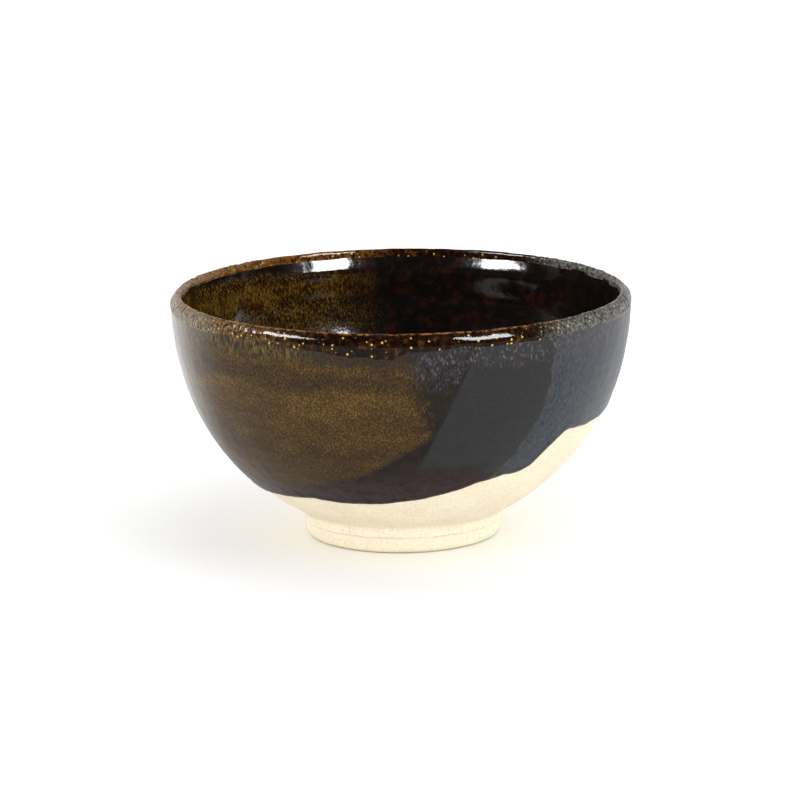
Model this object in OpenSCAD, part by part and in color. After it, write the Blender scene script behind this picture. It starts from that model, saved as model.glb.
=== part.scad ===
// Tea bowl for whisked tea: a thrown stoneware wall on a turned foot, dipped in three glazes.
// Millimetres, +Z up. The origin is the centre of the face that the foot stands on.

/* [Bowl] */
// Outer diameter at the lip
rim_d = 120; // [110:1:132]
// How far the lip stands out beyond the ball that the lower wall follows
lip_flare = 0.55; // [0.3:0.05:1.2]
// Height of the lip's round above the centre of that ball
lip_rise = 3.2; // [2.4:0.1:6]
// Height of the lowest point of that ball above the standing face
ball_lift = 0.2; // [0:0.1:1]
// Whole thickness of the wall at the lip, glaze included
lip_t = 3.8; // [3.4:0.1:5]
// Thickness of the floor at its centre, glaze included
floor_t = 4.9; // [4:0.1:8]
// Radius of the hollow's upper arc, as a share of the radius inside the lip
hollow_bend = 0.85; // [0.75:0.01:0.88]

/* [Foot] */
// Outer diameter of the foot above its turned line
foot_d = 52; // [48:1:54]
// Height of the turned line
foot_line_z = 4.1; // [3.5:0.1:4.5]
// How far the foot stands out above its turned line
foot_step = 0.4; // [0.2:0.1:0.8]
// Width of the ring that the bowl stands on
foot_w = 4.4; // [3:0.1:6]
// Depth of the recess inside the foot
recess_depth = 4.6; // [4.2:0.1:5]
// Radius of the cove between the foot and the wall
cove_r = 2.5; // [1.5:0.5:4]

/* [Glaze] */
// Thickness of the dipped coats
coat_t = 0.6; // [0.4:0.1:0.8]
// Thickness of the rolled bead of glaze on the lip
bead_t = 0.85; // [0.8:0.05:1.2]
// Height of the bead, from its lower edge to the crest
bead_h = 4; // [3:0.5:6]

/* [Hidden] */
$fn = 180;
// Steps along the lower and the upper arc of a face, and over the lip
LOW_STEPS = 24;
HIGH_STEPS = 8;
LIP_STEPS = 12;

// Each dip is one flat glaze line. It is the part of the bowl on the far side of a plane, given
// as [azimuth of the plane's normal, its elevation, its distance from the centre of the ball as
// a share of the ball's radius].
DIPS = [
    [-163, 75, -0.55],  // mouth down and tilted: the whole bowl above one slanting line
    [-109, 50, -0.11],
    [-72, 6, 0.71],
    [-55, -28, 0.988],
    [-26, 60, 0.07],
    [38, 55, 0.03],
    [98, 58, -0.14]
];
// The olive glaze is one dip of the left half, as deep as its lower line allows
OLIVE_SIDE = [-171, 0, 0];
OLIVE_DIP = [-138, 38, 0.19];
// The last black dip, on the front, and the side that keeps the slate glaze
BLACK_DIP = [-97, -2, 0.69];
SLATE_SIDE = [0, 0, 0.25];

// The outer face: a ball about the axis, and an arc that leaves it and stands upright at the lip
rim_r = rim_d / 2;
lip_out_r = rim_r - bead_t + coat_t;
ball_r = lip_out_r - lip_flare;
ball_z = ball_r + ball_lift;
lip_z = ball_z + lip_rise;
lip_angle = 2 * atan(lip_flare / lip_rise);
outer_x = -lip_rise / tan(lip_angle);

// The lip: a half round on the clay, with the bead over it
lip_mid_r = rim_r - lip_t / 2;
lip_in_r = rim_r - lip_t + bead_t - coat_t;
bead_z = lip_z + lip_t / 2 - bead_h;

// The hollow: an arc that stands upright at the lip, and a larger ball that closes it
hollow_z = recess_depth + floor_t;
hollow_deep = lip_z - hollow_z;
hollow_arc_r = lip_in_r * hollow_bend;
hollow_x = lip_in_r - hollow_arc_r;
hollow_slack = hollow_deep - hollow_arc_r;
hollow_r = (pow(hollow_x, 2) + pow(hollow_deep, 2) - pow(hollow_arc_r, 2)) / (2 * hollow_slack);
hollow_mid_z = hollow_z + hollow_r;
hollow_angle = atan((hollow_mid_z - lip_z) / hollow_x);

// The foot, and the cove that leaves it and runs out on the wall at the top of the foot
foot_r = foot_d / 2;
foot_line_r = foot_r - foot_step;
line_half = 0.25;
foot_edge = 1.2;
foot_in_r = foot_line_r - foot_edge - foot_w;
clay_r = ball_r - coat_t;
cove_x = foot_r + cove_r;
cove_drop = sqrt(pow(clay_r + cove_r, 2) - pow(cove_x, 2));
cove_z = ball_z - cove_drop;
foot_top = ball_z - cove_drop * clay_r / (clay_r + cove_r);

// Larger than the bowl: the reach of the cutting blocks
span = 2 * rim_d;

// Points along an arc about [x, z], from one angle to another
function arc(x, z, r, from, to, steps) = [
    for (i = [0:steps]) let (a = from + (to - from) * i / steps) [x + r * cos(a), z + r * sin(a)]
];

// A list without its first point, and a list back to front
function tail(points) = [for (i = [1:len(points) - 1]) points[i]];
function reversed(points) = [for (i = [len(points) - 1:-1:0]) points[i]];

// The outer face from its lowest point to the lip, moved in by inset from the coats' surface
function outer_face(inset) = concat(
    arc(0, ball_z, ball_r - inset, -90, -lip_angle, LOW_STEPS),
    tail(arc(outer_x, lip_z, lip_out_r - outer_x - inset, -lip_angle, 0, HIGH_STEPS))
);

// The face of the hollow from its lowest point to the lip, moved out into the wall by inset
function hollow_face(inset) = concat(
    arc(0, hollow_mid_z, hollow_r + inset, -90, -hollow_angle, LOW_STEPS),
    tail(arc(hollow_x, lip_z, lip_in_r - hollow_x + inset, -hollow_angle, 0, HIGH_STEPS))
);

// Half section of the wall, grown by grow from the bare clay, with its rounded lip
module wall_half(grow) {
    lip_round = arc(lip_mid_r, lip_z, lip_t / 2 - bead_t + grow, 0, 180, LIP_STEPS);
    hollow = reversed(hollow_face(coat_t - grow));
    polygon(concat(outer_face(coat_t - grow), tail(lip_round), tail(hollow)));
}

// Half section of everything above a height
module above(z) {
    translate([0, z]) square([span, span]);
}

// Half section of the clay wall, down to the flat that the foot is luted to
module clay_half() {
    intersection() {
        wall_half(0);
        above(recess_depth);
    }
}

// Half section of the foot before the wall is cut out of it, with the cove scooped from a block
module foot_half() {
    polygon([
        [foot_in_r, 0],
        [foot_line_r - foot_edge, 0],
        [foot_line_r - line_half, foot_edge],
        [foot_line_r, foot_line_z - line_half],
        [foot_line_r - line_half, foot_line_z],
        [foot_r, foot_line_z + line_half],
        [foot_r, foot_top],
        [foot_in_r - line_half, foot_top]
    ]);
    difference() {
        translate([foot_r - foot_edge, cove_z]) square([foot_edge + cove_r, cove_r]);
        translate([cove_x, cove_z]) circle(r = cove_r);
    }
}

// The far side of a plane, placed from the centre of the ball
module beyond(plane) {
    translate([0, 0, ball_z])
        rotate([0, 90 - plane[1], plane[0]])
            translate([-span, -span, plane[2] * ball_r])
                cube([2 * span, 2 * span, 2 * span]);
}

// Everything that the dips reached together
module dipped() {
    for (dip = DIPS) beyond(dip);
}

// Where the olive glaze lies
module olive_zone() {
    intersection() {
        beyond(OLIVE_SIDE);
        beyond(OLIVE_DIP);
    }
}

// Where the slate glaze shows
module slate_zone() {
    difference() {
        beyond(SLATE_SIDE);
        beyond(BLACK_DIP);
    }
}

// A coat turned about the axis, between two faces of the wall and up to the bead
module turned_coat(face, far_face) {
    rotate_extrude()
        intersection() {
            polygon(concat(face, reversed(far_face)));
            square([span, bead_z]);
        }
}

// The outside coat, whole, from the dip lines up to the bead
module outer_coat() {
    intersection() {
        turned_coat(outer_face(0), outer_face(coat_t));
        dipped();
    }
}

// The inside coat, whole
module inner_coat() {
    turned_coat(hollow_face(coat_t), hollow_face(0));
}

module thrown_body() {
    color("wheat") rotate_extrude() clay_half();
}

module foot_ring() {
    color("antiquewhite")
        rotate_extrude()
            difference() {
                foot_half();
                clay_half();
                above(foot_top);
            }
}

module rim_glaze() {
    color("saddlebrown")
        rotate_extrude()
            intersection() {
                difference() {
                    wall_half(bead_t);
                    wall_half(0);
                }
                above(bead_z);
            }
}

module inner_olive_glaze() {
    color("olive")
        intersection() {
            inner_coat();
            beyond(OLIVE_SIDE);
        }
}

module inner_black_glaze() {
    color("black")
        difference() {
            inner_coat();
            beyond(OLIVE_SIDE);
        }
}

module outer_olive_glaze() {
    color("darkolivegreen")
        intersection() {
            outer_coat();
            olive_zone();
        }
}

module outer_black_glaze() {
    color("dimgray")
        difference() {
            outer_coat();
            olive_zone();
            slate_zone();
        }
}

module outer_slate_glaze() {
    color("slategray")
        intersection() {
            outer_coat();
            slate_zone();
        }
}

thrown_body();
foot_ring();
rim_glaze();
inner_olive_glaze();
inner_black_glaze();
outer_olive_glaze();
outer_black_glaze();
outer_slate_glaze();
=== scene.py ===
"""The looks of the tea bowl: clay, foot, rim bead and five glaze coats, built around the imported
part. Lengths and heights are in millimetres until a mesh is made of them."""

import math

import bpy
import numpy as np
from mathutils import Matrix, Vector


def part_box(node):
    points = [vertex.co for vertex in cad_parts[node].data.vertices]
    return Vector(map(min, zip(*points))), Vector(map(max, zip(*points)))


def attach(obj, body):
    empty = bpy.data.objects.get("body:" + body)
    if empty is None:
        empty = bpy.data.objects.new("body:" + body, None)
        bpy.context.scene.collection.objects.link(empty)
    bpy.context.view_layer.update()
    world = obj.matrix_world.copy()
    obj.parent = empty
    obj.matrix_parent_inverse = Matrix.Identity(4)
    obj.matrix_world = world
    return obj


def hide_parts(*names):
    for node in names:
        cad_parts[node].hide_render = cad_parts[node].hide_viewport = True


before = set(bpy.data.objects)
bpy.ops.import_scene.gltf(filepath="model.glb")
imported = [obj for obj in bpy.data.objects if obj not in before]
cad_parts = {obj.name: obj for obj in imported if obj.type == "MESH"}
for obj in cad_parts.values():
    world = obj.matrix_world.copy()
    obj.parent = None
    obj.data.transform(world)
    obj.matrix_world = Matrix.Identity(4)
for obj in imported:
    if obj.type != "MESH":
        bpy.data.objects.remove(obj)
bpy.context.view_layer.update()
MM = 0.001
TAU = 2 * math.pi


def box_mm(node):
    """The lowest and highest corner of a CAD node in millimetres."""
    low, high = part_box(node)
    return np.array(low) / MM, np.array(high) / MM


# ---------------------------------------------------------------- sizes
# The part's own figures for the faces of the wall and for the foot
COAT = 0.6
BEAD = 0.85
LIP_FLARE = 0.55
LIP_RISE = 3.2
LIP_T = 3.8
BALL_LIFT = 0.2
HOLLOW_BEND = 0.85
FOOT_R = 26.0
FOOT_LINE_R = 25.6
FOOT_IN_R = 20.0
COVE_R = 2.5

RIM_R = box_mm("rim_glaze")[1][0]
RECESS_Z = box_mm("thrown_body")[0][2]
FOOT_TOP = box_mm("foot_ring")[1][2]
HOLLOW_Z = box_mm("inner_black_glaze")[0][2] + COAT

# The outer face: a ball, and above it a wider arc that stands upright at the lip
LIP_OUT_R = RIM_R - BEAD + COAT
BALL_R = LIP_OUT_R - LIP_FLARE
BALL_Z = BALL_R + BALL_LIFT
CLAY_R = BALL_R - COAT
LIP_Z = BALL_Z + LIP_RISE
LIP_ANGLE = 2 * math.atan(LIP_FLARE / LIP_RISE)
OUTER_X = -LIP_RISE / math.tan(LIP_ANGLE)
OUTER_R = LIP_OUT_R - OUTER_X

# The hollow: an arc that stands upright at the lip, and a larger ball that closes it
LIP_IN_R = RIM_R - LIP_T + BEAD - COAT
HOLLOW_DEEP = LIP_Z - HOLLOW_Z
HOLLOW_ARC_R = LIP_IN_R * HOLLOW_BEND
HOLLOW_X = LIP_IN_R - HOLLOW_ARC_R
HOLLOW_R = (HOLLOW_X**2 + HOLLOW_DEEP**2 - HOLLOW_ARC_R**2) / (2 * (HOLLOW_DEEP - HOLLOW_ARC_R))
HOLLOW_MID_Z = HOLLOW_Z + HOLLOW_R
HOLLOW_ANGLE = math.atan((HOLLOW_MID_Z - LIP_Z) / HOLLOW_X)

# The flat glaze lines, as in the part: azimuth and elevation of the plane's normal, and its
# distance from the centre of the ball as a share of the ball's radius
DIPS = [
    (-163, 75, -0.55),
    (-109, 50, -0.11),
    (-72, 6, 0.71),
    (-55, -28, 0.988),
    (-26, 60, 0.07),
    (38, 55, 0.03),
    (98, 58, -0.14),
]
OLIVE_SIDE = (-171, 0, 0)
OLIVE_DIP = (-138, 38, 0.19)
BLACK_DIP = (-97, -2, 0.69)
SLATE_SIDE = (0, 0, 0.25)

# The same lines as they are painted, where the glazes run a little over the pieces' edges:
# azimuth and elevation of the normal, and millimetres from the centre of the ball
OLIVE_LOW_LINE = (-137.6, 37.8, 11.4)
OLIVE_HALF_LINE = (-171, 0, 0)
OLIVE_BRIGHT_LINE = (-49.4, -3, 47.3)
SLATE_LINE = (-97, -2.3, 40.6)
WEDGE_NORMAL = (0.902, 0, -0.432)

# Azimuths between which the olive coat lies, and those where the other coats begin to settle
OLIVE_START, OLIVE_END = math.radians(143), math.radians(279)
SLATE_START, SLATE_TURN = math.radians(-55), math.radians(130)
BACK_START, BACK_TURN = math.radians(75), math.radians(68)
FRONT_TURN = math.radians(31)
FRONT_REACH = math.radians(30)

# Lengths of the pieces up the wall, by which their rows of cells are counted
OLIVE_TALL, SLATE_TALL, STRIP_TALL, FRONT_TALL = 34, 40, 36, 24
INNER_TALL, BEAD_GIRTH = 74, 9

# How a coat ends at a dip's edge: the reach of its rounding, and the height, place and width of
# the roll that stands over it; how far its edge is tucked in, and how far it is set in the clay
EDGE_ROUND = 0.95
ROLL, ROLL_AT, ROLL_WIDE = 0.10, 1.3, 0.9
EDGE_TUCK = 0.02
SUNK = 0.07

# The bead: the height of its lower edge outside and inside, the lowest that it may hang, how
# far the coats run on under it, how far it stands proud of them, and how soon it is full
BEAD_EDGE_Z = 61.1
INNER_BEAD_Z = 62.5
BEAD_LOWEST_Z = 57.4
UNDER_BEAD = 0.35
UNDER_INNER_BEAD = 0.3
PROUD = 0.10
BEAD_FULL = 1.1
BEAD_TUCK = 0.03

# Lobes of the bead's lower edge: azimuth, half width in degrees, depth
BEAD_LOBES = [
    (-99, 10.5, 1.1),
    (-94, 4, 0.4),
    (-80.5, 5, 0.5),
    (-62, 13, 0.5),
    (-121, 8, -0.5),
    (-150, 9, 0.5),
    (-20, 10, 0.4),
    (-104, 26, 1.45),
]

# The bead's section over the lip, from outside to inside, and the lip of the clay under it
BEAD_OVER = [
    (59.96, 61.0), (59.95, 61.6), (59.84, 62.25), (59.55, 62.9), (59.1, 63.5),
    (58.55, 64.1), (57.95, 64.6), (57.4, 64.45), (57.05, 63.9), (56.9, 63.3),
]
CLAY_LIP = [
    (59.08, 60.6), (58.9, 61.35), (58.55, 61.95), (58.1, 62.2),
    (57.65, 61.95), (57.35, 61.3), (57.15, 60.6),
]

# The inside below the rim: where it is narrowest, how far it swells in from which height, how
# much it leans out there and elsewhere, and how softly it bends
THROAT_Z = 59.3
THROAT_SWELL = 1.4
SWELL_FROM_Z = 50
THROAT_LEAN = 0.56
MILD_LEAN = 0.13
THROAT_BEND = 1.0

# Fineness of the meshes, the sharpest edge shaded smooth, and rows close together above a
# dip's edge
SHARP = math.radians(50)
CELL = 0.5
EDGE_ROWS = np.array([0, 0.04, 0.1, 0.19, 0.31, 0.46, 0.64, 0.86])


# ---------------------------------------------------------------- fields over the surface
def smooth(x, low, high):
    """0 below low, 1 above high, and an eased step between."""
    t = np.clip((x - low) / (high - low), 0, 1)
    return t * t * (3 - 2 * t)


RNG = np.random.default_rng(7)
SHUFFLE = RNG.permutation(256)
SLOPES = RNG.normal(size=(256, 3))
SLOPES /= np.linalg.norm(SLOPES, axis=1)[:, None]
SEED_STEP = 13.7
NOISE_GAIN = 1.6


def noise(points, size, seed):
    """Gradient noise, about -1 to 1, with cells of the given size, at an array of points."""
    p = np.asarray(points, float).reshape(-1, 3) / size + seed * SEED_STEP
    cell = np.floor(p).astype(int)
    f = p - cell
    ease = f**3 * (f * (f * 6 - 15) + 10)
    total = np.zeros(len(p))
    for corner in np.ndindex(2, 2, 2):
        c = cell + corner
        slot = SHUFFLE[(SHUFFLE[(SHUFFLE[c[:, 0] & 255] + c[:, 1]) & 255] + c[:, 2]) & 255]
        weight = np.where(corner, ease, 1 - ease).prod(axis=1)
        total += weight * (SLOPES[slot] * (f - corner)).sum(axis=1)
    return NOISE_GAIN * total.reshape(np.shape(points)[:-1])


def lumps(points, *layers):
    """Noises added up, each given as its height, the size of its cells and its seed."""
    return sum(height * noise(points, size, seed) for height, size, seed in layers)


def at(r, z, theta):
    return np.stack([r * np.cos(theta), r * np.sin(theta), z + 0 * theta], -1)


def around(theta):
    """Points on a circle, where a field of the azimuth alone is read."""
    return at(60.0, 0, theta)


def outer_face(a, out=0.0):
    """Radius and height on the outer face where its normal is at angle a, moved outwards."""
    low = a < -LIP_ANGLE
    reach = np.where(low, BALL_R, OUTER_R) + out
    r = np.where(low, 0, OUTER_X) + reach * np.cos(a)
    return r, np.where(low, BALL_Z, LIP_Z) + reach * np.sin(a)


def outer_angle(z):
    """The normal's angle on the outer face at a height."""
    high = np.arcsin(np.clip((z - LIP_Z) / OUTER_R, -1, 1))
    low = np.arcsin(np.clip((z - BALL_Z) / BALL_R, -1, 1))
    return np.where(high > -LIP_ANGLE, high, low)


def hollow_face(a, out=0.0):
    """Radius and height on the face of the hollow, moved out into the wall."""
    low = a < -HOLLOW_ANGLE
    reach = np.where(low, HOLLOW_R, HOLLOW_ARC_R) + out
    r = np.where(low, 0, HOLLOW_X) + reach * np.cos(a)
    return r, np.where(low, HOLLOW_MID_Z, LIP_Z) + reach * np.sin(a)


def hollow_angle(z):
    """The normal's angle on the hollow's upper arc at a height."""
    return np.arcsin((z - LIP_Z) / HOLLOW_ARC_R)


def beyond(plane, r, z, theta):
    """How far a point lies on the far side of a dip's plane."""
    azimuth, elevation, share = np.radians(plane[0]), np.radians(plane[1]), plane[2]
    level = np.cos(elevation) * r * np.cos(theta - azimuth)
    return level + np.sin(elevation) * (z - BALL_Z) - share * BALL_R


def crossing(planes, theta):
    """The lowest angle on the outer face that any of the planes reaches, for each azimuth."""
    a = np.radians(np.linspace(-75, -0.5, 1500))
    r, z = outer_face(a)
    reach = np.max([beyond(p, r, z, theta[:, None]) for p in planes], axis=0)
    k = np.argmax(reach > 0, axis=1)
    k = np.where(reach.max(axis=1) > 0, np.maximum(k, 1), len(a) - 1)
    before, after = np.take_along_axis(reach, np.stack([k - 1, k], 1), 1).T
    part = np.clip(-before / np.where(after == before, 1, after - before), 0, 1)
    return a[k - 1] + part * (a[k] - a[k - 1])


def side_of(plane, a):
    """The azimuth where a plane cuts the outer face at angle a, past the plane's normal."""
    azimuth, elevation = np.radians(plane[0]), np.radians(plane[1])
    r, z = outer_face(a)
    level = (plane[2] * BALL_R - np.sin(elevation) * (z - BALL_Z)) / (np.cos(elevation) * r)
    return azimuth + np.arccos(np.clip(level, -1, 1))


RING = np.linspace(-math.pi, math.pi, 2881)
DIP_WOBBLE = lumps(around(RING), (0.22, 5.5, 1), (0.10, 1.6, 2))
DIP_ANGLES = crossing(DIPS, RING) + DIP_WOBBLE / BALL_R
OLIVE_ANGLES = crossing([OLIVE_DIP], RING) + lumps(around(RING), (0.3, 6, 3)) / BALL_R


def on_ring(theta, values):
    return np.interp((theta + math.pi) % TAU - math.pi, RING, values)


def dip_edge(theta):
    """The angle on the outer face where the lowest glaze ends."""
    return on_ring(theta, DIP_ANGLES)


def bead_line(theta):
    """The height of the bead's lower edge outside."""
    line = BEAD_EDGE_Z + lumps(around(theta), (0.25, 5.5, 4), (0.10, 1.4, 5))
    for azimuth, half, depth in BEAD_LOBES:
        apart = np.abs((np.degrees(theta) - azimuth + 180) % 360 - 180)
        line = line - depth * smooth(1 - apart / half, 0, 0.45)
    return np.maximum(line, BEAD_LOWEST_Z)


def inner_bead_line(theta):
    """The height of the bead's lower edge inside."""
    return INNER_BEAD_Z + lumps(around(theta), (0.3, 6, 6))


def clay_lift(p):
    """The unevenness of the thrown and turned clay, with its throwing rings."""
    rings = np.sin(p[..., 2] * TAU / 3.3 + 1.3 * noise(p, 22, 10))
    return lumps(p, (0.07, 11, 11), (0.035, 2.6, 12), (0.018, 0.9, 13)) + 0.012 * rings


def glaze_lift(p):
    """The unevenness of a fired coat, over the clay."""
    fall = p * (1, 1, 0.35)
    return lumps(p, (0.06, 13, 20), (0.012, 1.3, 22)) + lumps(fall, (0.03, 3.6, 21))


def bead_lift(p, theta, share):
    """Lumps over the bead of the rim, and short ribs across it, most of all at its sides."""
    outside = 1 - smooth(share, 0.7, 0.9)
    sides = smooth(np.abs(np.cos(theta)), 0.45, 0.8)
    ribs = noise(around(theta) + share[..., None] * (0, 0, 3), 1.1, 31)
    broad = lumps(p, (0.14, 6.0, 30), (0.045, 2.6, 32)) + 0.02 * sides * noise(p, 0.8, 33)
    return broad * (0.35 + 0.65 * outside) + (0.006 + 0.17 * sides) * outside * ribs


def throat(z, theta):
    """How far the inside stands back from the plain hollow. It leans out to the crest, and
    towards the back it leans more, from a slight swelling below the rim."""
    climb = z - THROAT_Z
    bend = 0.5 * (climb + np.hypot(climb, THROAT_BEND))
    strong = THROAT_LEAN * bend - THROAT_SWELL * smooth(z, SWELL_FROM_Z, THROAT_Z)
    share = smooth(np.sin(theta), 0.64, 0.84)
    return MILD_LEAN * bend * (1 - share) + strong * share


# ---------------------------------------------------------------- meshes
def mesh_object(name, points, faces):
    """A smooth-shaded object from points in millimetres; unused points are dropped."""
    used, packed = np.unique(np.concatenate([f.ravel() for f in faces]), return_inverse=True)
    lists, start = [], 0
    for f in faces:
        lists += packed[start : start + f.size].reshape(f.shape).tolist()
        start += f.size
    mesh = bpy.data.meshes.new(name)
    mesh.from_pydata((points[used] * MM).tolist(), [], lists)
    mesh.polygons.foreach_set("use_smooth", np.ones(len(mesh.polygons), bool))
    mesh.set_sharp_from_angle(angle=SHARP)
    mesh.update()
    made = bpy.data.objects.new(name, mesh)
    bpy.context.scene.collection.objects.link(made)
    return made


def cells(index):
    """Quads between neighbouring columns and rows, facing columns x rows."""
    corners = [index[:-1, :-1], index[1:, :-1], index[1:, 1:], index[:-1, 1:]]
    return np.stack(corners, -1).reshape(-1, 4)


def drop_poles(quads):
    """Splits off the triangles where two corners of a quad are one point."""
    flat = (quads == np.roll(quads, -1, axis=1)).any(axis=1)
    thin = quads[flat]
    keep = ~(thin == np.roll(thin, -1, axis=1))
    return quads[~flat], thin[keep].reshape(-1, 3)


def closed_sheet(name, top, under, there=None, pole=False, flip=False):
    """A closed coat between two grids of points, columns x rows, with walls along its edges.
    There says which cells exist, and a pole joins the first row into one point."""
    columns, rows = top.shape[:2]
    index = np.arange(columns * rows).reshape(columns, rows)
    if pole:
        index[:, 0] = index[0, 0]
    quads = cells(index)
    if there is not None:
        quads = quads[there.reshape(-1)]
    quads, thin = drop_poles(quads)
    n = columns * rows
    edges = np.concatenate(
        [np.stack([f, np.roll(f, -1, axis=1)], -1).reshape(-1, 2) for f in (quads, thin)]
    )
    forward, back = edges[:, 0] * n + edges[:, 1], edges[:, 1] * n + edges[:, 0]
    rim = edges[~np.isin(forward, back)]
    walls = np.stack([rim[:, 1], rim[:, 0], rim[:, 0] + n, rim[:, 1] + n], -1)
    faces = [quads, quads[:, ::-1] + n, walls]
    if len(thin):
        faces += [thin, thin[:, ::-1] + n]
    if flip:
        faces = [f[:, ::-1] for f in faces]
    return mesh_object(name, np.concatenate([top.reshape(-1, 3), under.reshape(-1, 3)]), faces)


def turned(name, points, loop):
    """A closed body from a grid whose columns run once round the axis. Its rows close on
    themselves in a loop, or end in poles."""
    columns, rows = points.shape[:2]
    index = np.arange(columns * rows).reshape(columns, rows)
    index = np.concatenate([index, index[:1]])
    if loop:
        index = np.concatenate([index, index[:, :1]], axis=1)
    else:
        index[:, 0], index[:, -1] = index[0, 0], index[0, -1]
    quads, thin = drop_poles(cells(index))
    return mesh_object(name, points.reshape(-1, 3), [quads, thin] if len(thin) else [quads])


def spline(points, steps):
    """A smooth curve led by a list of points, which starts and ends at the first and last."""
    p = np.array(points, float)
    p = np.concatenate([[2 * p[0] - p[1]], p, [2 * p[-1] - p[-2]]])
    t = np.linspace(0, 1, steps, endpoint=False)[:, None]
    weights = (1 - t) ** 3, 3 * t**3 - 6 * t**2 + 4, -3 * t**3 + 3 * t**2 + 3 * t + 1, t**3
    parts = [sum(w * p[i + k] for k, w in enumerate(weights)) / 6 for i in range(len(p) - 3)]
    return np.concatenate([*parts, p[-2:-1]])


def lengths(curve):
    """The length along a curve up to each of its points."""
    return np.concatenate([[0], np.cumsum(np.linalg.norm(np.diff(curve, axis=0), axis=1))])


def along(curve, s):
    """Points of a curve of radius and height at lengths s."""
    run = lengths(curve)
    return np.interp(s, run, curve[:, 0]), np.interp(s, run, curve[:, 1])


def even(curve, step):
    """The curve's points again, spaced evenly."""
    total = lengths(curve)[-1]
    return np.stack(along(curve, np.linspace(0, total, max(2, round(total / step) + 1))), -1)


def between_heights(curve, first_z, last_z):
    """Lengths along a curve that climbs and comes down: where it passes the first height on its
    way up, and the last on its way down."""
    run, crest = lengths(curve), int(np.argmax(curve[:, 1]))
    up, down = slice(0, crest + 1), slice(crest, None)
    first = np.interp(first_z, curve[up, 1], run[up])
    return first, np.interp(-last_z, -curve[down, 1], run[down])


def swollen(section, direction, rise, theta):
    """A section of radius and height turned round the axis and moved out along its normals."""
    direction = direction / np.linalg.norm(direction, axis=1)[:, None]
    r = section[:, 0] + direction[:, 1] * rise
    return at(r, section[:, 1] - direction[:, 0] * rise, theta)


def piece(obj, node, material):
    """Rides a finished piece on the bowl's body, in place of its CAD node."""
    obj.data.materials.append(material)
    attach(obj, "root")
    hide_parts(node)


# ---------------------------------------------------------------- materials
COAT_ROUGHNESS = 0.06
COAT_IOR = 1.6


class Nodes:
    """Short calls for the nodes of one tree."""

    def __init__(self, tree):
        self.tree = tree

    def node(self, kind, **settings):
        made = self.tree.nodes.new(kind)
        for key, value in settings.items():
            setattr(made, key, value)
        return made

    def put(self, socket, value):
        if isinstance(value, bpy.types.NodeSocket):
            self.tree.links.new(value, socket)
        elif value is not None:
            socket.default_value = value

    def math(self, kind, a, b=None, c=None):
        made = self.node("ShaderNodeMath", operation=kind)
        for socket, value in zip(made.inputs, (a, b, c), strict=False):
            self.put(socket, value)
        return made.outputs[0]

    def both(self, *masks):
        total = masks[0]
        for m in masks[1:]:
            total = self.math("MULTIPLY", total, m)
        return total

    def split(self, v):
        made = self.node("ShaderNodeSeparateXYZ")
        self.put(made.inputs[0], v)
        return made.outputs

    def step(self, x, low, high, first=0.0, last=1.0):
        """First at low and last at high, eased; low may be the larger."""
        made = self.node("ShaderNodeMapRange", interpolation_type="SMOOTHSTEP")
        names = "Value", "From Min", "From Max", "To Min", "To Max"
        for key, value in zip(names, (x, low, high, first, last), strict=True):
            self.put(made.inputs[key], value)
        return made.outputs[0]


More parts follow.
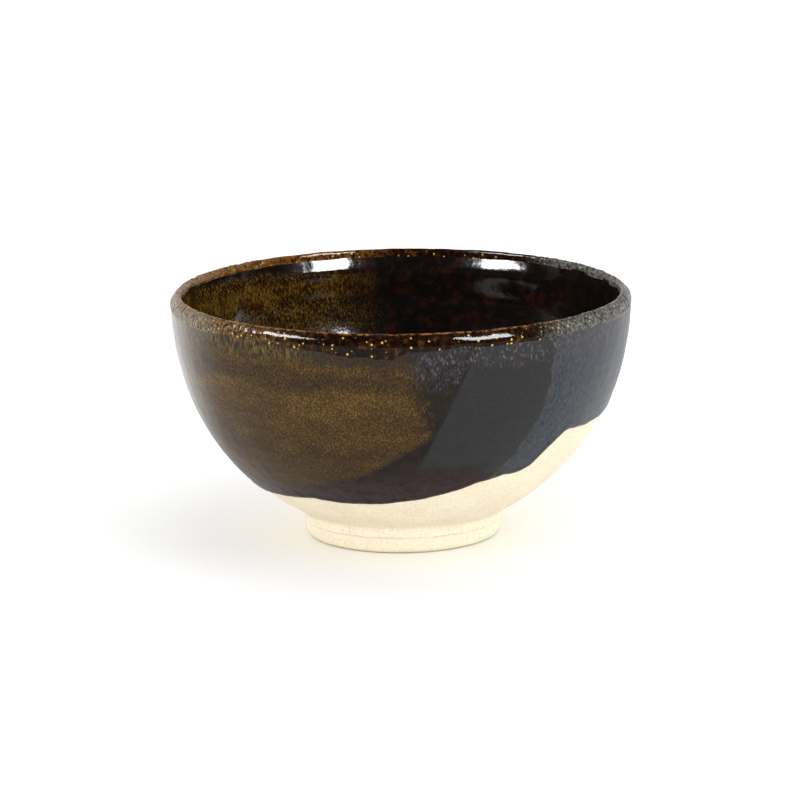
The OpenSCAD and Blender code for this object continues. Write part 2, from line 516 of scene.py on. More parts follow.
class Shader(Nodes):
    """A material with one Principled shader. Its p, x, y, z and r are the place on the piece in
    millimetres, r being the radius."""

    def __init__(self, name, roughness, level, coat=0.0):
        self.material = bpy.data.materials.new(name)
        self.material.use_nodes = True
        super().__init__(self.material.node_tree)
        self.bsdf = next(n for n in self.tree.nodes if n.type == "BSDF_PRINCIPLED")
        self.bsdf.inputs["Roughness"].default_value = roughness
        self.bsdf.inputs["Specular IOR Level"].default_value = level
        self.bsdf.inputs["Coat Weight"].default_value = coat
        self.bsdf.inputs["Coat Roughness"].default_value = COAT_ROUGHNESS
        self.bsdf.inputs["Coat IOR"].default_value = COAT_IOR
        place = self.node("ShaderNodeTexCoord").outputs["Object"]
        self.p = self.vector("SCALE", place, scale=1 / MM)
        self.x, self.y, self.z = self.split(self.p)
        squares = [self.math("MULTIPLY", side, side) for side in (self.x, self.y)]
        self.r = self.math("SQRT", self.math("ADD", *squares))

    def line(self, x, gain, lift):
        """x times gain, plus lift."""
        return self.math("MULTIPLY_ADD", x, gain, lift)

    def vector(self, kind, a, b=None, scale=None):
        made = self.node("ShaderNodeVectorMath", operation=kind)
        self.put(made.inputs[0], a)
        self.put(made.inputs[1], b)
        if scale is not None:
            self.put(made.inputs["Scale"], scale)
        return made.outputs["Value" if kind == "DOT_PRODUCT" else "Vector"]

    def flat(self, height, width=1):
        """The place, stretched so that a pattern over it comes out long in height."""
        return self.vector("MULTIPLY", self.p, (width, width, height))

    def noise(self, v, size, detail=3.0, rough=0.5, bend=0.0, colour=False):
        """Noise from 0 to 1 whose features are about size millimetres long."""
        made = self.node("ShaderNodeTexNoise")
        self.put(made.inputs["Vector"], v)
        made.inputs["Scale"].default_value = 1 / size
        made.inputs["Detail"].default_value = detail
        made.inputs["Roughness"].default_value = rough
        made.inputs["Distortion"].default_value = bend
        return made.outputs["Color" if colour else 0]

    def spots(self, v, size):
        """Distance to the nearest of scattered points about size millimetres apart, and that
        point's own two random numbers."""
        made = self.node("ShaderNodeTexVoronoi")
        self.put(made.inputs["Vector"], v)
        made.inputs["Scale"].default_value = 1 / size
        return made.outputs["Distance"], self.split(made.outputs["Color"])

    def patches(self, v, size, low, high, detail=3.0, rough=0.5):
        """Patches about size millimetres across: 0 where noise is low, 1 where it is high."""
        return self.step(self.noise(v, size, detail, rough), low, high)

    def band(self, x, low, full, still_full, high):
        """1 from full to still_full, easing to 0 at low and at high."""
        return self.both(self.step(x, low, full), self.step(x, high, still_full))

    def near(self, x, middle, full, gone):
        """1 within full of the middle, easing to 0 where x is gone from it."""
        away = self.math("ABSOLUTE", self.math("SUBTRACT", x, middle))
        return self.step(away, gone, full)

    def mix(self, share, a, b):
        """Colour a where the share is 0, and b where it is 1."""
        made = self.node("ShaderNodeMix", data_type="RGBA")
        self.put(made.inputs[0], share)
        for socket, value in ((made.inputs[6], a), (made.inputs[7], b)):
            self.put(socket, (*value, 1) if isinstance(value, tuple) else value)
        return made.outputs[2]

    def over(self, colour, share, *masks_then_top):
        """A top colour laid over another at a share of its strength, within the masks."""
        *masks, top = masks_then_top
        return self.mix(self.math("MULTIPLY", self.both(*masks), share), colour, top)

    def plane(self, v, azimuth, elevation, far):
        """Millimetres beyond a plane that lies that far from the centre of the ball."""
        az, el = math.radians(azimuth), math.radians(elevation)
        n = (math.cos(el) * math.cos(az), math.cos(el) * math.sin(az), math.sin(el))
        return self.math("SUBTRACT", self.vector("DOT_PRODUCT", v, n), far + n[2] * BALL_Z)

    def warp(self, v, size, reach):
        """The position, pushed about by noise of that size and reach in millimetres."""
        push = self.vector("SUBTRACT", self.noise(v, size, 2, colour=True), (0.5, 0.5, 0.5))
        return self.vector("ADD", v, self.vector("SCALE", push, scale=2 * reach))

    def bump(self, height, reach, under=None):
        made = self.node("ShaderNodeBump")
        made.inputs["Distance"].default_value = reach * MM
        self.put(made.inputs["Height"], height)
        self.put(made.inputs["Normal"], under)
        return made.outputs[0]

    def finish(self, colour, roughness=None, normal=None, coat=None, coat_normal=None):
        for key, value in (
            ("Base Color", colour),
            ("Roughness", roughness),
            ("Normal", normal),
            ("Coat Weight", coat),
            ("Coat Normal", coat_normal),
        ):
            self.put(self.bsdf.inputs[key], value)
        return self.material


# Colours, as linear red, green and blue. A pair is the dark and the pale end of a mixture
CLAYS = (0.755, 0.670, 0.505), (0.800, 0.725, 0.565)
CLAY_LOW = (0.83, 0.755, 0.590)
GRAIN_DARK, GRAIN_PALE = (0.57, 0.46, 0.31), (0.88, 0.83, 0.71)
GROG, TURNED_LINE = (0.48, 0.35, 0.22), (0.50, 0.36, 0.21)

BLACKS = (0.0160, 0.0163, 0.0172), (0.0215, 0.0218, 0.0228)
PURPLES = (0.0046, 0.0034, 0.0030), (0.0165, 0.0064, 0.0058)
WINES = (0.0100, 0.0046, 0.0046), (0.0270, 0.0115, 0.0120)
OLIVE_BROWNS = (0.0130, 0.0062, 0.0020), (0.042, 0.0210, 0.0042)
OLIVE_GOLD = (0.145, 0.084, 0.0120)
DARK_OLIVES = (0.0045, 0.0036, 0.0030), (0.0160, 0.0105, 0.0050)
FRINGES = (0.0120, 0.0078, 0.0034), (0.135, 0.092, 0.024)
SHADE = (0.0135, 0.0115, 0.0100)
SLATES = (0.0170, 0.0195, 0.0228), (0.046, 0.053, 0.063)
SLATE_PALE = (0.062, 0.069, 0.079)
SEAM_RUST = (0.085, 0.055, 0.036)
PINK_VEIL, BLUE_VEIL = (0.050, 0.042, 0.041), (0.046, 0.043, 0.046)
PINK_FLAKES = (0.115, 0.072, 0.075), (0.095, 0.092, 0.115)
BLUE_FLAKE = (0.080, 0.080, 0.104)
PINHOLE = (0.006, 0.004, 0.003)

BEAD_DARKS = (0.0040, 0.0020, 0.0012), (0.024, 0.0080, 0.0030)
BEAD_THIN = (0.070, 0.025, 0.0070)
AMBERS = (0.034, 0.018, 0.0070), (0.230, 0.140, 0.048)
PAINTED_GLINTS = (0.25, 0.225, 0.185)
CREST_RUST, BACK_RUST = (0.24, 0.085, 0.018), (0.24, 0.088, 0.012)
GOLD_SPECK, PALE_SPECK = (0.52, 0.34, 0.090), (0.50, 0.46, 0.32)
BEAD_GREYS = (0.026, 0.023, 0.019), (0.190, 0.186, 0.172)

INNER_BLACKS = (0.0040, 0.0032, 0.0030), (0.020, 0.0055, 0.0035)
INNER_OLIVES = (0.0085, 0.0038, 0.0014), (0.036, 0.0165, 0.0030)
INNER_GOLD = (0.145, 0.078, 0.0110)

FLOOR_GREYS = (0.90, 0.90, 0.90), (0.93, 0.93, 0.925)


def clay_material(name):
    """Dry cream clay: clouds, fine grain, grog, and the turned line round the foot."""
    s = Shader(name, roughness=0.8, level=0.2)
    colour = s.mix(s.patches(s.p, 9, 0.3, 0.7, 3, 0.6), *CLAYS)
    low = s.both(s.step(s.z, 8.2, 6.2), s.patches(s.p, 5, 0.1, 0.9))
    colour = s.mix(low, colour, CLAY_LOW)
    grain = s.noise(s.p, 0.55, 4, 0.7)
    colour = s.over(colour, 0.7, s.step(grain, 0.50, 0.70), GRAIN_DARK)
    colour = s.over(colour, 0.7, s.step(grain, 0.46, 0.28), GRAIN_PALE)
    away, tint = s.spots(s.p, 1.5)
    grog = s.both(s.step(away, 0.16, 0.06), s.step(tint[0], 0.55, 0.7))
    colour = s.over(colour, 0.65, grog, GROG)
    line = s.both(s.band(s.z, 3.75, 3.95, 4.15, 4.4), s.band(s.r, 24.5, 25.0, 26.5, 27.5))
    colour = s.over(colour, 0.15, s.patches(s.p, 3.5, 0.3, 0.8), line, TURNED_LINE)
    normal = s.bump(s.step(away, 0.3, 0.0), 0.05, under=s.bump(grain, 0.10))
    return s.finish(colour, s.line(grain, 0.2, 0.65), normal)


def lay_black(s, soft, wedge_line, speck):
    """The first dip: black, purple-brown to the left and low down, and wine-red lowest."""
    black = s.mix(s.step(speck, 0.35, 0.7), *BLACKS)
    slant = s.step(s.vector("DOT_PRODUCT", soft, WEDGE_NORMAL), 12.0, 3.0)
    low = s.both(slant, s.step(s.z, 31.0, 25.0))
    purple = s.mix(s.patches(s.flat(0.45), 2.8, 0.38, 0.66, 4, 0.6), *PURPLES)
    colour = s.mix(s.math("MAXIMUM", s.step(wedge_line, -8.4, -9.2), low), black, purple)
    wine = s.mix(s.patches(soft, 2.0, 0.36, 0.62, 4, 0.6), *WINES)
    return s.mix(s.both(low, s.step(s.z, 28.5, 22.0)), colour, wine)


def lay_olive(s, colour, half, bright_side, olive_low, wedge_line):
    """Fine gold grains on brown, richer and poorer in level bands, and a dark wedge beside."""
    fine = s.noise(s.flat(0.55), 0.36, 4, 0.65, 0.3)
    cloud = s.noise(s.flat(0.8, 0.3), 3.0, 4, 0.6)
    level = s.math("ADD", s.z, s.line(s.noise(s.p, 11, 2), 6, -3))
    rich = s.line(fine, 0.80, s.math("MULTIPLY", cloud, 0.20))
    for mask, gain in (
        (s.band(level, 48.8, 51.2, 52.4, 55.0), -0.040),
        (s.band(level, 41.5, 45.5, 48.0, 50.0), 0.025),
        (s.step(level, 38.0, 31.0), -0.025),
    ):
        rich = s.line(mask, gain, rich)
    olive = s.mix(s.step(rich, 0.34, 0.53), *OLIVE_BROWNS)
    olive = s.mix(s.step(rich, 0.49, 0.70), olive, OLIVE_GOLD)
    dark_olive = s.mix(s.step(rich, 0.40, 0.62), *DARK_OLIVES)
    wedge = s.step(wedge_line, -8.6, -9.0)
    colour = s.mix(s.both(wedge, olive_low), colour, dark_olive)
    return s.mix(s.both(half, bright_side, olive_low), colour, olive)


def lay_fringe(s, colour, streak, front, half, olive_low):
    """Under the bead: green-gold with one longer run to the left, and a dark place beside it."""
    hang = s.line(s.noise(s.flat(0.1), 2.6, 2), 6, s.z)
    fringe = s.both(s.step(hang, 59.5, 61.5), s.step(s.x, -16, -26), half, olive_low)
    run = s.both(s.near(s.x, -35.5, 1.2, 2.4), s.step(hang, 57.5, 60.0), front)
    green = s.mix(s.step(streak, 0.42, 0.64), *FRINGES)
    colour = s.over(colour, 0.75, s.math("MAXIMUM", fringe, run), green)
    shade = s.both(s.step(hang, 57.5, 61.0), s.near(s.x, -9, 11, 19), front)
    return s.over(colour, 0.7, shade, SHADE)


def lay_slate(s, colour):
    """Blue-grey, mottled fine, paler to the right, with a rusty seam towards the black."""
    edge = s.plane(s.warp(s.p, 2.5, 0.35), *SLATE_LINE)
    right = s.step(s.x, 5, 12)
    grain = s.step(s.noise(s.flat(0.45), 0.7, 5, 0.7), 0.35, 0.66)
    mottle = s.both(grain, s.line(s.step(s.x, 20, 40), 0.35, 0.65))
    blue = s.over(s.mix(mottle, *SLATES), 0.5, s.step(s.x, 34, 58), SLATE_PALE)
    colour = s.mix(s.both(s.step(edge, 0.12, -0.12), right), colour, blue)
    seam = s.both(s.band(edge, -0.5, 0.05, 0.1, 0.5), right, s.patches(s.p, 2.2, 0.42, 0.65))
    return s.over(colour, 0.6, seam, SEAM_RUST)


def lay_crystals(s, colour, streak, front):
    """Crystals below the bead: pink-grey to the right, and blue-grey beside the olive."""
    away, tint = s.spots(s.warp(s.flat(0.55), 0.8, 0.5), 0.75)
    flake = s.both(s.step(away, 0.50, 0.20), s.patches(s.p, 1.6, 0.36, 0.54))
    veil = s.step(streak, 0.35, 0.7)
    high = s.step(s.line(s.noise(s.p, 3.0), 6, s.z), 57.0, 61.0)
    right = s.both(high, s.step(s.x, 10, 18))
    colour = s.over(colour, 0.5, right, veil, PINK_VEIL)
    colour = s.over(colour, 0.85, right, flake, s.mix(tint[0], *PINK_FLAKES))
    blue_high = s.step(s.line(s.noise(s.p, 3.0), 8, s.z), 52.5, 60.0)
    blue = s.both(blue_high, s.band(s.x, 1, 6, 13, 18), front)
    colour = s.over(colour, 0.45, blue, s.step(streak, 0.35, 0.65), BLUE_VEIL)
    return s.over(colour, 0.8, blue, flake, BLUE_FLAKE)


def outer_material():
    """The dips of the outside over one another, in the order that they were made."""
    s = Shader("outer_glaze", roughness=0.3, level=0.15)
    soft = s.warp(s.p, 4.5, 0.9)
    front = s.step(s.y, 8, -8)
    olive_low = s.step(s.plane(soft, *OLIVE_LOW_LINE), -1.0, 1.4)
    half = s.step(s.plane(soft, *OLIVE_HALF_LINE), -1.5, 1.5)
    ragged = s.line(s.noise(s.flat(0.4), 1.0, 4, 0.65), 7.0, -3.5)
    bright_edge = s.math("ADD", s.plane(soft, *OLIVE_BRIGHT_LINE), ragged)
    wedge_line = s.vector("DOT_PRODUCT", s.warp(s.p, 2.6, 0.5), WEDGE_NORMAL)
    speck = s.noise(s.p, 0.8, 4, 0.65)
    streak = s.noise(s.flat(0.35), 0.6, 4, 0.65)

    colour = lay_black(s, soft, wedge_line, speck)
    bright_side = s.step(bright_edge, 1.6, -1.6)
    colour = lay_olive(s, colour, half, bright_side, olive_low, wedge_line)
    colour = lay_fringe(s, colour, streak, front, half, olive_low)
    colour = lay_slate(s, colour)
    colour = lay_crystals(s, colour, streak, front)
    away, tint = s.spots(s.p, 5.0)
    hole = s.both(s.step(away, 0.05, 0.02), s.step(tint[1], 0.4, 0.5))
    colour = s.mix(hole, colour, PINHOLE)

    waves = s.math("MULTIPLY", s.noise(s.p, 2.4, 2), 0.6)
    normal = s.bump(s.math("ADD", s.math("MULTIPLY", speck, 0.5), waves), 0.05)
    normal = s.bump(s.math("SUBTRACT", 1.0, hole), 0.12, under=normal)
    wet = s.math("MULTIPLY", s.step(s.x, -44, -58), 0.7)
    return s.finish(colour, s.line(speck, 0.16, 0.26), normal, coat=wet, coat_normal=normal)


def rim_material():
    """The bead: dark treacle brown, amber to the left with painted highlights at its far end,
    rusty on the crest and at the back left, grey to the right, with gold and pale specks."""
    s = Shader("rim_glaze", roughness=0.14, level=0.07, coat=0.06)
    soft = s.warp(s.p, 3.0, 0.8)
    mottle = s.noise(s.p, 0.9, 4, 0.65)
    colour = s.mix(s.patches(soft, 1.1, 0.4, 0.7, 4, 0.6), *BEAD_DARKS)
    colour = s.mix(s.patches(soft, 2.0, 0.55, 0.70, 4, 0.65), colour, BEAD_THIN)
    amber = s.mix(s.patches(s.p, 0.8, 0.4, 0.65, 4, 0.65), *AMBERS)
    colour = s.over(colour, 0.8, s.step(s.x, -22, -46), amber)
    # Pale grey mottle at the bead's far left end: painted highlights that stand in for its glints
    painted_glints = s.both(s.step(s.x, -44, -54), s.step(mottle, 0.36, 0.62))
    colour = s.over(colour, 0.7, painted_glints, PAINTED_GLINTS)

    crest = s.both(s.near(s.r, 58.0, 0.2, 0.5), s.step(s.z, 63.8, 64.2))
    patch = s.patches(soft, 1.6, 0.42, 0.6, 4, 0.6)
    colour = s.mix(s.both(crest, patch), colour, CREST_RUST)
    back_left = s.both(s.step(s.y, 0, 20), s.step(s.x, 0, -14), s.step(s.z, 61.5, 62.8))
    colour = s.over(colour, 0.8, back_left, s.step(mottle, 0.40, 0.60), BACK_RUST)

    away, tint = s.spots(s.warp(s.p, 1.0, 0.25), 1.2)
    gold = s.both(s.step(away, 0.31, 0.14), s.step(tint[0], 0.52, 0.60), s.step(s.z, 64.1, 63.6))
    colour = s.mix(gold, colour, GOLD_SPECK)
    grey_side = s.step(s.x, 32, 44)
    grey = s.mix(s.step(mottle, 0.35, 0.7), *BEAD_GREYS)
    colour = s.over(colour, 0.85, grey_side, grey)
    pale = s.both(grey_side, s.step(away, 0.28, 0.12), s.step(tint[1], 0.5, 0.6))
    colour = s.mix(pale, colour, PALE_SPECK)

    height = s.math("ADD", s.noise(s.p, 1.1), s.math("MULTIPLY", gold, 0.5))
    sides = s.step(s.math("ABSOLUTE", s.x), 34, 52)
    coarse = s.both(sides, s.noise(s.p, 0.7, 3, 0.6))
    normal = s.bump(coarse, 0.12, under=s.bump(height, 0.035))
    return s.finish(colour, s.line(sides, 0.20, 0.11), normal, coat_normal=normal)


def inner_material():
    """Black with dark red clouds, and over its left half olive, streaked below the rim."""
    s = Shader("inner_glaze", roughness=0.1, level=0.15, coat=0.12)
    soft = s.warp(s.p, 4.0, 1.2)
    colour = s.mix(s.patches(soft, 3.2, 0.46, 0.7, 4, 0.6), *INNER_BLACKS)
    fine = s.noise(s.flat(0.6), 0.45, 3, 0.6, 0.3)
    streak = s.noise(s.flat(0.4), 0.45, 4, 0.65)
    level = s.math("ADD", s.z, s.line(s.noise(s.p, 7, 2), 5, -2.5))
    high = s.band(level, 51.5, 54.0, 56.5, 59.0)
    rich = s.line(high, 0.05, s.mix(high, fine, streak))
    rich = s.line(s.noise(soft, 4, 3), 0.3, s.math("SUBTRACT", rich, 0.15))
    olive = s.mix(s.step(rich, 0.38, 0.55), *INNER_OLIVES)
    olive = s.mix(s.step(rich, 0.51, 0.68), olive, INNER_GOLD)
    half = s.step(s.plane(s.warp(s.p, 7.0, 5.0), *OLIVE_HALF_LINE), -8, 14)
    brink = s.line(s.x, 0.07, s.z)
    top = s.step(s.line(s.noise(s.flat(0.3), 1.6), 4.0, brink), 60.8, 58.8)
    colour = s.mix(s.both(half, top), colour, olive)
    return s.finish(colour, s.line(fine, 0.08, 0.08), s.bump(s.noise(s.p, 2.6), 0.08))


# ---------------------------------------------------------------- the outer coats
# How far neighbours overlap and how low the olive coat may get, as angles on the wall; how far
# a round of settling goes; and an angle for points that no cell uses
OVERLAP = 0.0009
COAT_MIN_ANGLE = 0.004
SETTLE = 0.5
UNUSED = -0.5


def columns(turn, radius=59, cell=CELL):
    """How many columns of cells there are over a turn about the axis."""
    return max(8, round(turn * radius / cell))


def top_angle(theta):
    """The coats run on a little way under the bead."""
    return outer_angle(bead_line(theta) + UNDER_BEAD)


def rows_up(theta, high, rows):
    """Angles over a grid of azimuths from the dip's edge up to high, with close rows along the
    edge."""
    low = dip_edge(theta)
    start = low + EDGE_ROWS[-1] / BALL_R
    near = np.pad(EDGE_ROWS, (0, rows)) / BALL_R
    climb = np.concatenate([np.zeros(len(EDGE_ROWS)), np.linspace(0, 1, rows + 1)[1:]])
    return np.where(climb > 0, start + (high - start) * climb, low + near)


def outer_coat(theta, a):
    """The two faces of a piece of the outer coat over a grid of azimuths and normal angles."""
    r, z = outer_face(a)
    p = at(r, z, theta)
    edge, beside = dip_edge(theta), 0.004
    slope = (dip_edge(theta + beside) - dip_edge(theta - beside)) / (2 * beside) * BALL_R / r
    above = (a - edge) * BALL_R / np.sqrt(1 + slope**2)
    round_off = np.sqrt(1 - (1 - np.clip(above / EDGE_ROUND, 0, 1)) ** 2)
    roll = ROLL * np.exp(-(((above - ROLL_AT) / ROLL_WIDE) ** 2))
    body = -COAT + clay_lift(p)
    thick = round_off * (COAT + glaze_lift(p) + roll)
    top = at(*outer_face(a, body + thick - EDGE_TUCK * (above < 0.01)), theta)
    return top, at(*outer_face(a, body - SUNK), theta)


def olive_coat():
    theta = np.linspace(OLIVE_START, OLIVE_END, columns(OLIVE_END - OLIVE_START))
    high = top_angle(theta)
    low = np.minimum(on_ring(theta, OLIVE_ANGLES), high - COAT_MIN_ANGLE)
    rows = round(OLIVE_TALL / CELL)
    a = low[:, None] + (high - low)[:, None] * np.linspace(0, 1, rows)
    grid = np.repeat(theta[:, None], rows, axis=1)
    return closed_sheet("outer_olive_coat", *outer_coat(grid, a))


def slate_coat():
    """From the black dip's line to the slate dip's, which the columns settle to in rounds."""
    count, rows = columns(SLATE_TURN), round(SLATE_TALL / CELL)
    share = np.linspace(0, 1, count)[:, None]
    theta = SLATE_START + SLATE_TURN * share + np.zeros((count, rows + len(EDGE_ROWS)))
    for _ in range(50):
        a = rows_up(theta, top_angle(theta), rows)
        left = side_of(BLACK_DIP, a) - OVERLAP
        right = side_of(SLATE_SIDE, a) + OVERLAP
        theta = (1 - SETTLE) * theta + SETTLE * (left + (right - left) * share)
    return closed_sheet("outer_slate_coat", *outer_coat(theta, a))


def black_back(count, rows):
    """The grid of the black coat's back, from the slate dip's line to the olive coat."""
    share = np.linspace(0, 1, count)[:, None]
    turn = OLIVE_START - BACK_START
    theta = BACK_START + share * turn + np.zeros((count, rows + len(EDGE_ROWS)))
    for _ in range(12):
        a = rows_up(theta, top_angle(theta), rows)
        theta = side_of(SLATE_SIDE, a) * (1 - share) + OLIVE_START * share
    return theta, a


def black_strip(count, rows):
    """The grid of the strip below the olive coat."""
    theta = np.linspace(OLIVE_START, OLIVE_END, count)
    high = top_angle(theta)
    line = np.minimum(on_ring(theta, OLIVE_ANGLES) + OVERLAP, high)
    fade = smooth(theta, OLIVE_START, OLIVE_START + 0.05)
    theta = np.repeat(theta[:, None], rows + len(EDGE_ROWS), axis=1)
    return theta, rows_up(theta, (high * (1 - fade) + line * fade)[:, None], rows)


def black_front(count, rows, upper_rows, join):
    """The grid of the front, from the olive coat to the black dip's line. It goes on above the
    angle where the strip ends, up to the bead."""
    share = np.linspace(0, 1, count)[:, None]
    low_n = rows + len(EDGE_ROWS)
    climb = np.linspace(0, 1, upper_rows + 1)[1:]
    theta = OLIVE_END + share * FRONT_REACH + np.zeros((count, low_n + upper_rows))
    for _ in range(40):
        lower = rows_up(theta[:, :low_n], join, rows)
        upper = join + (top_angle(theta[:, low_n:]) - join) * climb
        a = np.concatenate([lower, upper], axis=1)
        end = side_of(BLACK_DIP, a) + TAU + OVERLAP
        theta = (1 - SETTLE) * theta + SETTLE * (OLIVE_END * (1 - share) + end * share)
    return theta, a


def black_coat():
    """The back, the strip below the olive, and the front, in one grid whose cells above the
    back and the strip are left out."""
    turns = BACK_TURN, OLIVE_END - OLIVE_START, FRONT_TURN
    back_n, strip_n, front_n = (columns(turn) for turn in turns)
    rows, upper_rows = round(STRIP_TALL / CELL), round(FRONT_TALL / CELL)
    low_n = rows + len(EDGE_ROWS)
    strip = black_strip(strip_n, rows)
    front = black_front(front_n, rows, upper_rows, strip[1][-1, -1])
    theta = np.full((back_n + strip_n + front_n - 2, low_n + upper_rows), OLIVE_START)
    a = np.full(theta.shape, UNUSED)
    for first, (block_theta, block_a) in (
        (0, black_back(back_n, rows)),
        (back_n - 1, strip),
        (back_n + strip_n - 2, front),
    ):
        across, up = block_theta.shape
        span = slice(first, first + across), slice(0, up)
        theta[span], a[span] = block_theta, block_a
    there = np.ones((theta.shape[0] - 1, theta.shape[1] - 1), bool)
    there[: back_n + strip_n - 2, low_n - 1 :] = False
    return closed_sheet("outer_black_coat", *outer_coat(theta, a), there=there)


# ---------------------------------------------------------------- the inner coats and the bead
def inner_coat(name, first, last):
    """Half of the inside, from its lowest point up to a little way under the bead."""
    theta = np.linspace(first, last, columns(last - first, 52, CELL * 1.1))
    top = hollow_angle(inner_bead_line(theta) + UNDER_INNER_BEAD)
    rows = round(INNER_TALL / (CELL * 1.15))
    a = -math.pi / 2 + (top + math.pi / 2)[:, None] * np.linspace(0, 1, rows)
    theta = np.repeat(theta[:, None], rows, axis=1)
    r, z = hollow_face(a)
    p = at(r, z, theta)
    set_back = throat(z, theta)
    rise = glaze_lift(p) + lumps(p, (0.05, 7, 40)) - set_back
    rise[:, 0] = rise[0, 0]
    face = at(*hollow_face(a, -rise), theta)
    under = at(*hollow_face(a, np.maximum(COAT, set_back + 0.5) + 0.05), theta)
    return closed_sheet(name, face, under, pole=True, flip=True)


def bead_curve():
    """The bead's section: up along the outer coats, over the lip, and down along the inner."""
    outside = [
        (outer_face(outer_angle(np.float64(z)))[0] + PROUD, z)
        for z in (57.0, 57.8, 58.6, 59.5, 60.4)
    ]
    inside = [
        (hollow_face(hollow_angle(z))[0] + throat(z, math.pi / 2) - PROUD, z)
        for z in (62.5, 61.7, 61.0, 60.2, 59.4, 58.6)
    ]
    return spline(outside + BEAD_OVER + inside, 12)


def bead_ring():
    curve, lip = bead_curve(), np.array([(58.9, 57.0), *CLAY_LIP, (57.1, 58.4)])
    theta = np.linspace(0, TAU, round(TAU * 60 / (CELL * 0.6)), endpoint=False)
    low_out, low_in = bead_line(theta), inner_bead_line(theta)
    share = np.linspace(0, 1, round(BEAD_GIRTH / (CELL * 0.5)))
    first, last = (end[:, None] for end in between_heights(curve, low_out, low_in))
    s = first + (last - first) * share
    grid = np.repeat(theta[:, None], len(share), axis=1)
    r, z = along(curve, s)
    step = 0.05
    r1, z1 = along(curve, s + step)
    r0, z0 = along(curve, s - step)
    tangent = np.hypot(r1 - r0, z1 - z0)
    nr, nz = (z1 - z0) / tangent, -(r1 - r0) / tangent
    p = at(r, z, grid)
    full = smooth(np.minimum(s - first, last - s), 0, BEAD_FULL)
    rise = full * bead_lift(p, grid, share + 0 * grid)
    rise += (1 - full) * (glaze_lift(p) - PROUD - BEAD_TUCK)
    top = at(r + nr * rise, z + nz * rise, grid)
    first, last = (end[:, None] for end in between_heights(lip, low_out, low_in))
    under = at(*along(lip, first + (last - first) * share), grid)
    return turned("rim_bead", np.concatenate([top, under[:, ::-1]], axis=1), loop=True)


# ---------------------------------------------------------------- the clay
CLAY_COLUMNS = np.linspace(0, TAU, 600, endpoint=False)
SEAT_ANGLE = np.arcsin((RECESS_Z - BALL_Z) / CLAY_R)


def thrown_wall():
    """Round the outside from the middle of the recess to the lip, and down the hollow."""
    flat = np.linspace(0, CLAY_R * math.cos(SEAT_ANGLE), 22)
    floor_line = np.stack([flat, np.full(22, RECESS_Z)], -1)
    bare = np.linspace(math.degrees(SEAT_ANGLE), -24, 76)[1:]
    covered = np.linspace(-24, -2, 10)[1:]
    outside = np.stack(outer_face(np.radians(np.concatenate([bare, covered])), -COAT), -1)
    hollow = np.stack(hollow_face(np.radians(np.linspace(-3, -90, 26)), COAT), -1)
    section = np.concatenate([floor_line, outside, CLAY_LIP, hollow])
    grid = CLAY_COLUMNS[:, None] + np.zeros(len(section))
    shown = np.arange(len(section)) < len(floor_line) + len(outside)
    rise = clay_lift(at(section[:, 0], section[:, 1], grid)) * shown
    rise *= smooth(section[:, 0], 0, 3)
    points = swollen(section, np.gradient(section, axis=0), rise, grid)
    return turned("thrown_wall", points, loop=False)


def foot_ring():
    """The standing edge, the turned line and the cove outside, the seat under the wall, and the
    side of the recess."""
    cove_x = FOOT_R + COVE_R
    cove_z = BALL_Z - math.sqrt((CLAY_R + COVE_R) ** 2 - cove_x**2)
    turn = np.linspace(0, 1.05, 10)[1:]
    cove = np.stack([cove_x - COVE_R * np.cos(turn), cove_z + COVE_R * np.sin(turn)], -1)
    below = [
        (FOOT_LINE_R - 2.2, 0.0),
        (FOOT_LINE_R - 1.25, 0.12),
        (FOOT_LINE_R - 0.6, 0.6),
        (FOOT_LINE_R - 0.22, 1.4),
        (FOOT_LINE_R - 0.05, 2.4),
        (FOOT_LINE_R, 3.4),
        (FOOT_LINE_R - 0.05, 3.8),
        (FOOT_LINE_R - 0.28, 4.05),
        (FOOT_LINE_R - 0.15, 4.22),
    ]
    above = [(FOOT_R - 0.12, 4.34), (FOOT_R, 4.6), (FOOT_R, 5.1)]
    outside = spline([(FOOT_IN_R + 0.5, 0.0), *below, *above], 8)
    outline = even(np.concatenate([outside, cove]), 0.17)
    top_angles = np.linspace(np.arcsin((FOOT_TOP - BALL_Z) / CLAY_R), SEAT_ANGLE, 8)
    seat = np.stack(outer_face(top_angles, -COAT - 0.12), -1)
    recess = [
        (FOOT_IN_R, RECESS_Z + 0.1),
        (FOOT_IN_R, 0.7),
        (FOOT_IN_R + 0.12, 0.2),
        (FOOT_IN_R + 0.4, 0.02),
    ]
    section = np.concatenate([outline, seat, even(np.array(recess), 0.35)])
    grid = CLAY_COLUMNS[:, None] + np.zeros(len(section))
    direction = np.roll(section, -1, axis=0) - np.roll(section, 1, axis=0)
    rise = clay_lift(at(section[:, 0], section[:, 1], grid)) * smooth(section[:, 1], 0.0, 1.2)
    rise[:, len(outline) : len(outline) + len(seat)] = 0
    return turned("foot", swollen(section, direction, rise, grid), loop=True)


def build_bowl():
    clay, foot_clay = clay_material("raw_clay"), clay_material("foot_clay")
    outer, rim, inner = outer_material(), rim_material(), inner_material()
    piece(olive_coat(), "outer_olive_glaze", outer)
    piece(slate_coat(), "outer_slate_glaze", outer)
    piece(black_coat(), "outer_black_glaze", outer)
    split = math.radians(OLIVE_SIDE[0] + 90)
    olive_half = inner_coat("inner_olive_coat", split - math.pi, split)
    piece(olive_half, "inner_olive_glaze", inner)
    black_half = inner_coat("inner_black_coat", split, split + math.pi)
    piece(black_half, "inner_black_glaze", inner)
    piece(bead_ring(), "rim_glaze", rim)
    piece(thrown_wall(), "thrown_body", clay)
    piece(foot_ring(), "foot_ring", foot_clay)


# ---------------------------------------------------------------- floor, light and camera
FLOOR_RADII = (0.001, 200, 900, 9000)
FLOOR_SIDES = 96


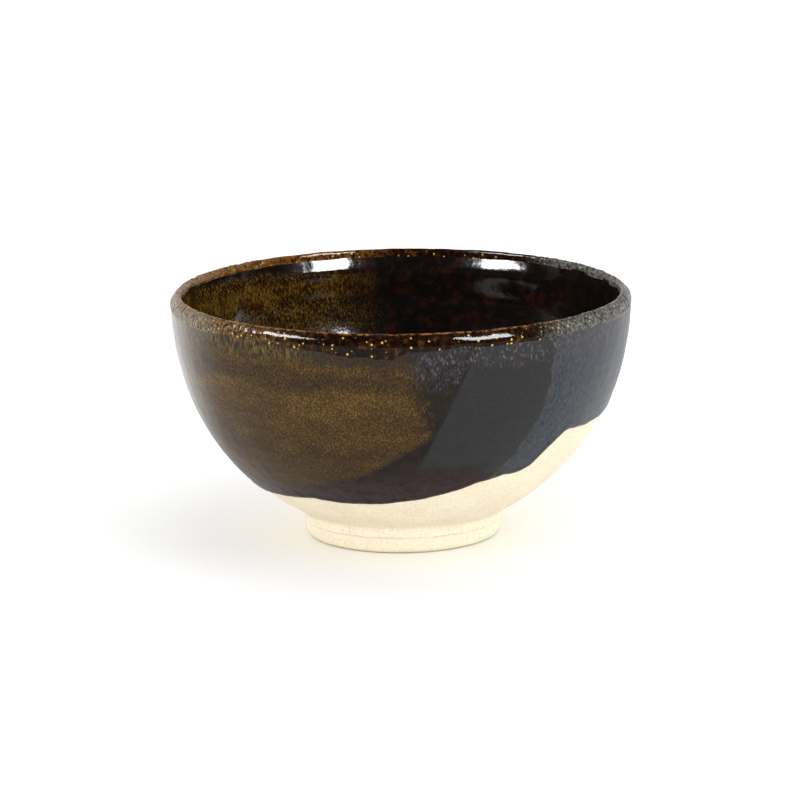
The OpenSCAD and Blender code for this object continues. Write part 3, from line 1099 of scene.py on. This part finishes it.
def floor_piece():
    theta = np.linspace(0, TAU, FLOOR_SIDES, endpoint=False)
    points = np.concatenate([at(radius, 0, theta) for radius in FLOOR_RADII])
    index = np.arange(len(points)).reshape(len(FLOOR_RADII), FLOOR_SIDES)
    index = np.concatenate([index, index[:, :1]], axis=1)
    made = mesh_object("floor", points, [cells(index)[:, ::-1]])
    s = Shader("floor", roughness=0.7, level=0.2)
    made.data.materials.append(s.finish(s.mix(s.noise(s.p, 260, 2), *FLOOR_GREYS)))


def area_light(name, azimuth, elevation, distance, width, height, radiance, mirrored):
    """A soft box that looks at the bowl; its strength is a radiance, white being 1. It either
    shows in the glaze or lights the clay and the floor, so that each can be set by itself."""
    az, el = math.radians(azimuth), math.radians(elevation)
    aim = Vector((0, 0, 55 * MM))
    away = Vector((math.cos(el) * math.cos(az), math.cos(el) * math.sin(az), math.sin(el)))
    data = bpy.data.lights.new(name, "AREA")
    data.shape, data.size, data.size_y = "RECTANGLE", width, height
    data.energy = radiance * math.pi * width * height
    lamp = bpy.data.objects.new(name, data)
    lamp.visible_glossy, lamp.visible_diffuse = mirrored, not mirrored
    lamp.location = aim + away * distance
    lamp.rotation_mode = "QUATERNION"
    lamp.rotation_quaternion = away.to_track_quat("Z", "Y")
    bpy.context.scene.collection.objects.link(lamp)


def surroundings():
    """A white room. It lights the clay and the floor evenly; what the glaze mirrors is bright
    behind the bowl and dim in front of it and overhead; the camera itself sees plain white."""
    world = bpy.data.worlds.new("studio")
    bpy.context.scene.world = world
    world.use_nodes = True
    s = Nodes(world.node_tree)
    x, y, z = s.split(s.node("ShaderNodeTexCoord").outputs["Generated"])
    rays = s.node("ShaderNodeLightPath").outputs

    def choose(ray, otherwise, chosen):
        """One level for rays of a kind, and another for the rest."""
        made = s.node("ShaderNodeMix")
        for k, value in ((0, rays[ray]), (2, otherwise), (3, chosen)):
            s.put(made.inputs[k], value)
        return made.outputs[0]

    behind = s.step(y, -0.25, 0.45, 0.08, 1.6)
    overhead = s.step(z, 0.05, 0.45, 1.0, 0.08)
    to_the_left = s.step(x, -0.6, 0.5, 1.4, 0.9)
    even_light = s.step(z, 0.0, 0.5, 3.0, 1.2)
    level = choose("Is Glossy Ray", even_light, s.both(behind, overhead, to_the_left))
    back = s.tree.nodes["Background"].inputs
    s.put(back["Strength"], choose("Is Camera Ray", level, 1.0))
    s.put(back["Color"], (1, 1, 1, 1))


# Name, azimuth, elevation, distance, width, height, radiance, and whether it shows in the glaze
LAMPS = [
    ("soft_box_right", -41, 45.5, 1.3, 0.42, 0.46, 75, True),
    ("soft_box_left", -162, 45, 1.3, 0.62, 0.25, 75, True),
    ("fill_right", -40, 40, 1.6, 1.0, 1.0, 1.0, False),
]
CAMERA_ELEVATION, CAMERA_ROLL = math.radians(12.55), math.radians(-0.7)
CAMERA_DISTANCE, CAMERA_AIM = 1.1, Vector((-0.00052, 0, 0.03500))
LENS, SENSOR = 189.5, 36


def add_camera():
    data = bpy.data.cameras.new("camera")
    data.lens, data.sensor_width = LENS, SENSOR
    data.clip_start, data.clip_end = 0.05, 30
    camera = bpy.data.objects.new("camera", data)
    bpy.context.scene.collection.objects.link(camera)
    back = Vector((0, -math.cos(CAMERA_ELEVATION), math.sin(CAMERA_ELEVATION)))
    upright = back.to_track_quat("Z", "Y").to_matrix()
    turn = (upright @ Matrix.Rotation(CAMERA_ROLL, 3, "Z")).to_4x4()
    camera.matrix_world = Matrix.Translation(CAMERA_AIM + back * CAMERA_DISTANCE) @ turn
    return camera


build_bowl()
floor_piece()
surroundings()
for lamp in LAMPS:
    area_light(*lamp)
bpy.context.scene.camera = add_camera()
bpy.context.scene.view_settings.view_transform = "Standard"
